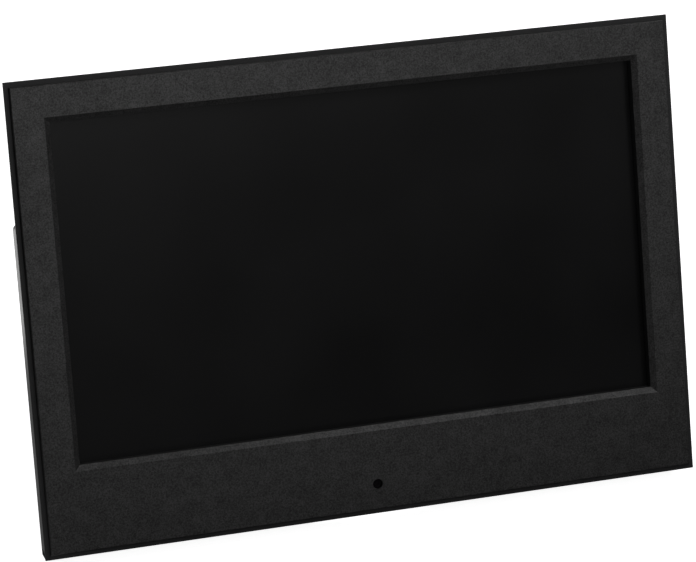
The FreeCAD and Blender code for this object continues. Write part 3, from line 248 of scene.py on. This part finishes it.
def circuit_board(name):
    """Green solder mask over copper tracks that show as lighter lines."""
    colour = (0.012, 0.10, 0.045)
    track_step = 6.0
    made, tree, shader = material(name, colour, 0.35)
    tracks = tree.nodes.new("ShaderNodeTexBrick")
    tracks.inputs["Scale"].default_value = 1 / (track_step * MM)
    tracks.inputs["Mortar Size"].default_value = 0.03
    tracks.inputs["Color1"].default_value = (*colour, 1)
    tracks.inputs["Color2"].default_value = (*shade(colour, 0.8), 1)
    tracks.inputs["Mortar"].default_value = (*shade(colour, 2.2), 1)
    tree.links.new(place(tree, (90, 0, 0)), tracks.inputs["Vector"])
    tree.links.new(tracks.outputs["Color"], shader.inputs["Base Color"])
    weave = noise(tree, 0.4)
    tree.links.new(spread(tree, weave, 0.3, 0.42), shader.inputs["Roughness"])
    bump(tree, shader, [(weave, 0.006)])
    return made


def small_part(name, colour, roughness=0.5):
    """Plain moulded or printed stock with a faint grain, for small parts."""
    return plastic(name, colour, roughness, 0.5, 0.004)


LOOKS = {
    "textured_black": spark_plastic("textured_black_look", (0.0125, 0.0122, 0.0124), 0.52),
    "smooth_black": plastic(
        "smooth_black_look", (0.048, 0.048, 0.049), 0.45, 0.3, 0.004, Specular_IOR_Level=0.15
    ),
    "housing_black": plastic("housing_black_look", (0.024, 0.024, 0.025), 0.36, 0.7, 0.012),
    "key_black": plastic("key_black_look", (0.045, 0.045, 0.047), 0.38, 0.4, 0.004),
    "screen_black": display_film("screen_black_look"),
    "lens_smoke": smoked("lens_smoke_look"),
    "steel": metal("steel_look", (0.62, 0.62, 0.63), 0.32),
    "screw_steel": metal("screw_steel_look", (0.16, 0.16, 0.17), 0.38),
    "rubber_black": rubber("rubber_black_look", (0.018, 0.018, 0.018)),
    "foam_black": rubber("foam_black_look", (0.028, 0.028, 0.028)),
    "board_green": circuit_board("board_green_look"),
    "chip_black": small_part("chip_black_look", (0.03, 0.03, 0.034), 0.55),
    "can_aluminium": metal("can_aluminium_look", (0.75, 0.75, 0.76), 0.3),
    "connector_ivory": small_part("connector_ivory_look", (0.74, 0.70, 0.60)),
    "acrylic_clear": small_part("acrylic_clear_look", (0.82, 0.86, 0.88), 0.15),
    "sheet_white": small_part("sheet_white_look", (0.84, 0.84, 0.84), 0.6),
    "flat_lead": small_part("flat_lead_look", (0.74, 0.74, 0.70), 0.35),
    "lead_red": small_part("lead_red_look", (0.30, 0.02, 0.02), 0.4),
    "speaker_black": metal("speaker_black_look", (0.05, 0.05, 0.055), 0.45),
}
slot_of = {s["node"]: s["material_slot"] for s in record["subparts"]}
for node_name, node in nodes.items():
    look = LOOKS[slot_of[node_name]]
    if not node.material_slots:
        node.data.materials.append(look)
    for holder in node.material_slots:
        holder.material = look


# ================================================================ small raised marks and contacts
def prism(name, outlines, face_y, thickness, look, body):
    """A thin piece on the panel's plane y = face_y, from outlines that are loops of (x, z)."""
    mesh = bmesh.new()
    for outline in outlines:
        near = [mesh.verts.new(at(x, face_y, z)) for x, z in outline]
        far = [mesh.verts.new(at(x, face_y + thickness, z)) for x, z in outline]
        mesh.faces.new(near)
        mesh.faces.new(far[::-1])
        for i in range(len(outline)):
            j = (i + 1) % len(outline)
            mesh.faces.new((near[j], near[i], far[i], far[j]))
    bmesh.ops.recalc_face_normals(mesh, faces=mesh.faces)
    data = bpy.data.meshes.new(name)
    mesh.to_mesh(data)
    mesh.free()
    data.materials.append(look)
    piece = bpy.data.objects.new(name, data)
    bpy.context.collection.objects.link(piece)
    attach(piece, body)


def disc(radius, count=24):
    """A round outline about 0, 0."""
    turn = 2 * math.pi / count
    return [(radius * math.cos(i * turn), radius * math.sin(i * turn)) for i in range(count)]


def bar(width, height, x=0.0, z=0.0):
    """A rectangular outline about x, z."""
    return [
        (x - width / 2, z - height / 2), (x + width / 2, z - height / 2),
        (x + width / 2, z + height / 2), (x - width / 2, z + height / 2),
    ]


def arrow(degrees, size=1.5):
    """A triangle that points towards degrees, 0 to the right and 90 up, seen from behind."""
    tail, half = size * 0.6, size * 0.9
    tips = [(size, 0.0), (-tail, half), (-tail, -half)]
    turn = math.radians(degrees)
    return [
        (-(x * math.cos(turn) - z * math.sin(turn)), x * math.sin(turn) + z * math.cos(turn))
        for x, z in tips
    ]


def broken_ring(radius, width, gap_degrees, count=28):
    """A ring with a gap at the top."""
    start, stop = math.radians(90 + gap_degrees / 2), math.radians(450 - gap_degrees / 2)
    angles = [start + (stop - start) * i / count for i in range(count + 1)]
    hole = radius - width
    outer = [(radius * math.cos(a), radius * math.sin(a)) for a in angles]
    inner = [(hole * math.cos(a), hole * math.sin(a)) for a in reversed(angles)]
    return outer + inner


MARK_THICK, MARK_SUNK = 0.06, 0.02     # the printed marks, and how far they lie in the keys
MARKS = {
    "power": [broken_ring(1.35, 0.32, 70), bar(0.32, 1.4, 0, 0.9)],
    "menu": [bar(2.6, 0.36, 0, z) for z in (-0.9, 0.0, 0.9)],
    "exit": [arrow(180, 1.1)],
    "up": [arrow(90)],
    "down": [arrow(-90)],
    "left": [arrow(180)],
    "right": [arrow(0)],
    "enter": [disc(1.1)],
}
PRINT = plastic("mark_white_look", (0.62, 0.62, 0.62), 0.5, 0.3, 0.002)
for key, outlines in MARKS.items():
    low, high = extent("key_" + key)
    x, z = middle(low, high)
    moved = [[(x + dx, z + dz) for dx, dz in outline] for outline in outlines]
    prism("mark_" + key, moved, high[1] - MARK_SUNK, MARK_THICK, PRINT, key + "_key")


# ---- cloth behind the speaker slots
def cloth_look():
    """Woven speaker cloth: two crossed waves of thread."""
    made, tree, shader = material("speaker_cloth_look", (0.012, 0.012, 0.013), 0.85)
    thread_step = 3.0
    threads = []
    for turn in (0, 90):
        wave = tree.nodes.new("ShaderNodeTexWave")
        wave.inputs["Scale"].default_value = 1 / (thread_step * MM)
        wave.inputs["Distortion"].default_value = 0.4
        tree.links.new(place(tree, (0, turn, 0)), wave.inputs["Vector"])
        threads.append(wave.outputs["Fac"])
    woven = product(tree, *threads)
    colour = tint(tree, woven, (0.004, 0.004, 0.004), (0.03, 0.03, 0.032), start=0.0, stop=1.0)
    tree.links.new(colour, shader.inputs["Base Color"])
    bump(tree, shader, [(woven, 0.15)])
    return made


CLOTH = cloth_look()
CLOTH_W, CLOTH_H, CLOTH_THICK = 32.0, 13.0, 0.15
CLOTH_GAP = 0.06                       # between the speaker and its cloth
for side in ("left", "right"):
    low, high = extent("speaker_" + side)
    outline = bar(CLOTH_W, CLOTH_H, *middle(low, high))
    face = high[1] + CLOTH_GAP
    prism("speaker_cloth_" + side, [outline], face, CLOTH_THICK, CLOTH, "casing")


# ---- gold contacts on the sockets' tongues
GOLD = metal("contact_gold_look", (0.80, 0.56, 0.22), 0.25)
GOLD_THICK = 0.05


def contacts(name, socket, count, step, width, length, sink, depth):
    """Thin strips along x, sink behind the socket's mouth and depth behind its front face."""
    low, high = extent(socket)
    x, z = high[0] - sink - length / 2, middle(low, high)[1]
    places = [z + (i - (count - 1) / 2) * step for i in range(count)]
    strips = [bar(length, width, x, place_z) for place_z in places]
    prism(name, strips, low[1] + depth, GOLD_THICK, GOLD, "casing")


contacts(
    "usb_contacts", "usb_socket",
    count=4, step=2.5, width=1.0, length=8.0, sink=2.0, depth=2.8,
)
contacts(
    "mini_usb_contacts", "mini_usb_socket",
    count=5, step=0.65, width=0.3, length=4.0, sink=1.8, depth=2.3,
)
contacts(
    "card_contacts", "sd_socket",
    count=8, step=2.5, width=1.0, length=4.0, sink=3.0, depth=0.4,
)


# ================================================================ stage
TABLE_GLOW = 0.93                      # just short of full white
AMBIENT = 0.03                         # how strongly the surroundings light the frame


def floor():
    """A wide pale table that fills the view and glows, so that it is evenly white."""
    mesh = bpy.data.meshes.new("floor")
    half = 30.0
    corners = [(-half, -half, 0), (half, -half, 0), (half, half, 0), (-half, half, 0)]
    mesh.from_pydata(corners, [], [(0, 1, 2, 3)])
    made, _, shader = material("floor_look", (0.9, 0.9, 0.9), 0.9, Specular_IOR_Level=0.0)
    shader.inputs["Emission Color"].default_value = (1, 1, 1, 1)
    shader.inputs["Emission Strength"].default_value = TABLE_GLOW
    mesh.materials.append(made)
    piece = bpy.data.objects.new("floor", mesh)
    bpy.context.collection.objects.link(piece)
    piece.visible_diffuse = False
    piece.visible_glossy = False


def softbox(name, position, target, width, height, watts):
    """A rectangular light at position that faces target, in metres and watts."""
    light = bpy.data.lights.new(name, "AREA")
    light.shape = "RECTANGLE"
    light.size = width
    light.size_y = height
    light.energy = watts
    piece = bpy.data.objects.new(name, light)
    bpy.context.collection.objects.link(piece)
    piece.location = position
    aim = Vector(target) - Vector(position)
    piece.rotation_euler = aim.to_track_quat("-Z", "Y").to_euler()


def world():
    """Faint light from all round, behind a white backdrop that only the camera sees."""
    made = bpy.data.worlds.new("studio")
    made.use_nodes = True
    tree = made.node_tree
    back = tree.nodes["Background"]
    back.inputs["Color"].default_value = (1, 1, 1, 1)
    back.inputs["Strength"].default_value = AMBIENT
    seen = tree.nodes.new("ShaderNodeBackground")
    seen.inputs["Color"].default_value = (1, 1, 1, 1)
    path = tree.nodes.new("ShaderNodeLightPath")
    mix = tree.nodes.new("ShaderNodeMixShader")
    tree.links.new(path.outputs["Is Camera Ray"], mix.inputs["Fac"])
    tree.links.new(back.outputs["Background"], mix.inputs[1])
    tree.links.new(seen.outputs["Background"], mix.inputs[2])
    tree.links.new(mix.outputs["Shader"], tree.nodes["World Output"].inputs["Surface"])
    bpy.context.scene.world = made


floor()
world()
# The lights face these three points of the frame. The bounce and the two glows lie just over the
# table and face straight up, as the light does that a white table throws back.
SCREEN, EDGE, REAR = (0, 0, 0.12), (0, 0, 0.09), (0, 0.03, 0.08)
softbox("key_light", (0.02, -0.8, 0.45), SCREEN, 0.3, 0.3, 0.76)
softbox("upper_right", (0.3, -0.45, 0.75), SCREEN, 0.25, 0.25, 0.8)
softbox("low_right", (0.35, -0.45, 0.35), SCREEN, 0.25, 0.25, 0.14)
softbox("edge_right", (1.035, -0.61, 0.195), EDGE, 0.6, 0.6, 0.1)
softbox("bounce", (0.1, -0.45, 0.003), (0.1, -0.45, 1.0), 0.5, 0.4, 0.32)
softbox("rear_left", (-0.9, 1.1, 0.8), REAR, 0.9, 0.7, 9.0)
softbox("rear_right", (0.9, 0.9, 1.0), REAR, 0.7, 0.7, 7.0)
softbox("glow_near", (-0.2, 0.07, 0.002), (-0.2, 0.07, 1.0), 0.16, 0.28, 0.032)
softbox("glow_far", (-0.36, 0.47, 0.002), (-0.36, 0.47, 1.0), 0.5, 0.6, 1.4)


# ================================================================ camera
OPENING_Z = 95.55                      # height of the middle of the screen's opening
# The camera looks at that point from an angle to the left and above. Distance and offsets are in
# metres, the lens in millimetres.
AZIMUTH, ELEVATION = math.radians(-18.16), math.radians(22.21)
DISTANCE, OFF_RIGHT, OFF_UP = 1.2586, 0.00482, 0.00787
SENSOR_W, FOCAL_LENGTH = 36.0, 177.95
level = math.cos(ELEVATION)
forward = Vector((-math.sin(AZIMUTH) * level, math.cos(AZIMUTH) * level, -math.sin(ELEVATION)))
sideways = forward.cross(Vector((0, 0, 1))).normalized()
upwards = sideways.cross(forward)
lens = bpy.data.cameras.new("camera")
lens.sensor_width = SENSOR_W
lens.lens = FOCAL_LENGTH
lens.clip_end = 200.0
camera = bpy.data.objects.new("camera", lens)
bpy.context.collection.objects.link(camera)
spot = at(0, 0, OPENING_Z) - forward * DISTANCE - sideways * OFF_RIGHT - upwards * OFF_UP
turned = Matrix((sideways, upwards, -forward)).transposed().to_4x4()
camera.matrix_world = Matrix.Translation(spot) @ turned
bpy.context.scene.camera = camera
bpy.context.scene.view_settings.view_transform = "Standard"
